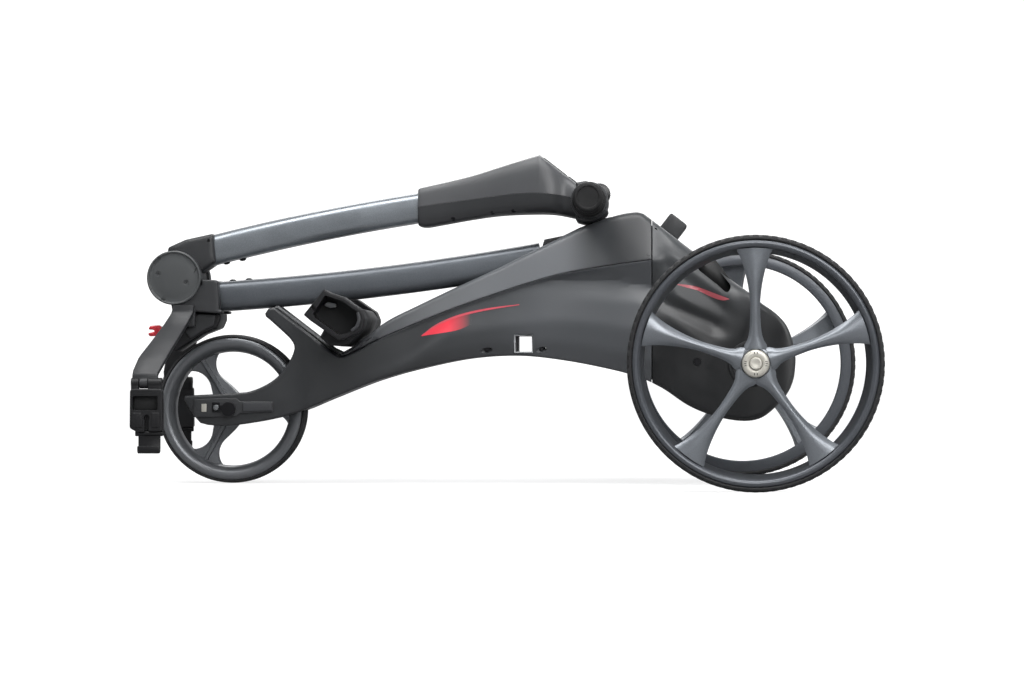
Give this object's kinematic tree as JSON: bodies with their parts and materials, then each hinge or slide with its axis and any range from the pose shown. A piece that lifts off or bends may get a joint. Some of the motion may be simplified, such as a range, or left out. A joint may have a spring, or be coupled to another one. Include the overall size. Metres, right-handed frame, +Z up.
{
  "type": "electric golf trolley",
  "caption": "Folding electric golf trolley with two spoked drive wheels, a front wheel in a fork, folding two-part shaft, handle with dial and display, and bag cradles.",
  "frame": {"origin": "centre of the folded footprint, on the ground", "axes": "+X towards the rear wheels, +Z up, -Y to the user's left when facing forwards"},
  "size_m": [0.84, 0.6, 0.3812],
  "materials": {
    "body_grey": "satin graphite moulding",
    "black_plastic": "fine matt texture",
    "graphite_tube": "satin graphite coat",
    "rim_grey": "satin dark graphite",
    "tyre": "matt black tread",
    "silver": "turned and bead-blasted",
    "steel": "machined",
    "red_plastic": "smooth",
    "rubber": "soft textured",
    "screen": "dark tinted window",
    "copper": "wound copper",
    "gear_white": "moulded acetal",
    "pcb": "solder mask",
    "screw_black": "black zinc"
  },
  "bodies": {
    "chassis": {"top_cover": "body_grey", "side_shell_left": "body_grey", "side_shell_right": "body_grey", "rear_housing_left": "body_grey", "rear_housing_right": "body_grey", "lower_bag_base": "body_grey", "lower_cradle": "black_plastic", "battery_tray": "black_plastic", "shaft_dock": "black_plastic", "motor_can": "steel", "gearbox_case": "black_plastic", "gearbox_cover": "black_plastic", "axle_bearings": "steel", "controller_board": "pcb", "wiring_harness": "red_plastic", "spine_beam": "silver", "pivot_bracket": "steel", "pivot_pin": "steel", "chassis_screws": "screw_black", "front_axle": "steel", "axle_plates": "black_plastic"},
    "battery": {"battery_pack": "black_plastic"},
    "dock_release": {"dock_button": "black_plastic"},
    "rotor": {"motor_rotor": "copper"},
    "idler": {"compound_gear": "gear_white"},
    "axle": {"rear_axle": "steel", "axle_gear": "steel"},
    "wheel_left": {"rear_rim_left": "rim_grey", "rear_tyre_left": "tyre", "hub_cap_left": "silver"},
    "wheel_right": {"rear_rim_right": "rim_grey", "rear_tyre_right": "tyre", "hub_cap_right": "silver"},
    "button_left": {"release_button_left": "silver"},
    "button_right": {"release_button_right": "silver"},
    "front_wheel": {"front_rim": "rim_grey", "front_tyre": "tyre", "front_bearings": "steel"},
    "lower_shaft": {"shaft_foot": "black_plastic", "lower_tube": "graphite_tube", "lower_yoke": "black_plastic", "hinge_covers": "black_plastic", "hinge_pin": "steel", "cradle_base": "black_plastic", "cradle_arm_left": "black_plastic", "cradle_arm_right": "black_plastic"},
    "lever": {"release_lever": "red_plastic"},
    "bracket_left": {"strap_bracket_left": "black_plastic"},
    "bracket_right": {"strap_bracket_right": "black_plastic"},
    "hook_left": {"strap_hook_left": "black_plastic"},
    "hook_right": {"strap_hook_right": "black_plastic"},
    "upper_shaft": {"upper_tube": "graphite_tube", "upper_yoke": "black_plastic", "head_lower_shell": "body_grey", "head_upper_shell": "body_grey", "display_window": "screen", "grip_left": "rubber", "grip_right": "rubber"},
    "power": {"power_button": "black_plastic"},
    "dial": {"speed_dial": "black_plastic"}
  },
  "joints": [
    {"name": "rear_wheel_left_spin", "type": "hinge", "parent": "chassis", "child": "wheel_left", "pos_m": [0.2806, -0.275, 0.1394], "axis": [0, 1, 0], "continuous": true},
    {"name": "rear_wheel_right_spin", "type": "hinge", "parent": "chassis", "child": "wheel_right", "pos_m": [0.2806, 0.275, 0.1394], "axis": [0, 1, 0], "continuous": true},
    {"name": "rear_axle_spin", "type": "hinge", "parent": "chassis", "child": "axle", "pos_m": [0.2806, 0, 0.1394], "axis": [0, 1, 0], "continuous": true},
    {"name": "idler_spin", "type": "hinge", "parent": "chassis", "child": "idler", "pos_m": [0.2489, 0.08, 0.15483], "axis": [0, 1, 0], "continuous": true},
    {"name": "motor_spin", "type": "hinge", "parent": "chassis", "child": "rotor", "pos_m": [0.222, 0, 0.141], "axis": [0, 1, 0], "continuous": true},
    {"name": "release_button_left_press", "type": "slide", "parent": "wheel_left", "child": "button_left", "axis": [0, 1, 0], "range_m": [0, 0.003]},
    {"name": "release_button_right_press", "type": "slide", "parent": "wheel_right", "child": "button_right", "axis": [0, -1, 0], "range_m": [0, 0.003]},
    {"name": "front_wheel_spin", "type": "hinge", "parent": "chassis", "child": "front_wheel", "pos_m": [-0.32, 0, 0.0865], "axis": [0, 1, 0], "continuous": true},
    {"name": "battery_lift", "type": "slide", "parent": "chassis", "child": "battery", "axis": [0.6101, 0, 0.7923], "range_m": [0, 0.25]},
    {"name": "dock_button_press", "type": "slide", "parent": "chassis", "child": "dock_release", "axis": [-0.6101, 0, -0.7923], "range_m": [0, 0.004]},
    {"name": "lower_shaft_fold", "type": "hinge", "parent": "chassis", "child": "lower_shaft", "pos_m": [0.1455, 0, 0.283], "axis": [0, 1, 0], "range_deg": [0, 135]},
    {"name": "upper_shaft_fold", "type": "hinge", "parent": "lower_shaft", "child": "upper_shaft", "pos_m": [-0.3837, 0, 0.2383], "axis": [0, -1, 0], "range_deg": [0, 168]},
    {"name": "release_lever_pull", "type": "hinge", "parent": "lower_shaft", "child": "lever", "pos_m": [-0.392, 0, 0.172], "axis": [0, 1, 0], "range_deg": [0, 12]},
    {"name": "strap_bracket_left_swing", "type": "hinge", "parent": "lower_shaft", "child": "bracket_left", "pos_m": [-0.406, -0.131, 0.117], "axis": [-1, 0, 0], "range_deg": [0, 50]},
    {"name": "strap_bracket_right_swing", "type": "hinge", "parent": "lower_shaft", "child": "bracket_right", "pos_m": [-0.406, 0.131, 0.117], "axis": [1, 0, 0], "range_deg": [0, 50]},
    {"name": "strap_hook_left_tilt", "type": "hinge", "parent": "bracket_left", "child": "hook_left", "pos_m": [-0.399, -0.134, 0.0602], "axis": [-1, 0, 0], "range_deg": [0, 35]},
    {"name": "strap_hook_right_tilt", "type": "hinge", "parent": "bracket_right", "child": "hook_right", "pos_m": [-0.399, 0.134, 0.0602], "axis": [1, 0, 0], "range_deg": [0, 35]},
    {"name": "power_button_press", "type": "slide", "parent": "upper_shaft", "child": "power", "axis": [-0.6136, 0, -0.7896], "range_m": [0, 0.001]},
    {"name": "speed_dial_turn", "type": "hinge", "parent": "upper_shaft", "child": "dial", "pos_m": [0.1075, 0, 0.336], "axis": [0, 1, 0], "continuous": true}
  ],
  "couplings": [
    {"joint": "rear_wheel_right_spin", "follows": "rear_wheel_left_spin", "ratio": 1},
    {"joint": "rear_axle_spin", "follows": "rear_wheel_left_spin", "ratio": 1},
    {"joint": "idler_spin", "follows": "rear_wheel_left_spin", "ratio": -4},
    {"joint": "motor_spin", "follows": "rear_wheel_left_spin", "ratio": 16},
    {"joint": "upper_shaft_fold", "follows": "lower_shaft_fold", "ratio": 1.2444}
  ]
}
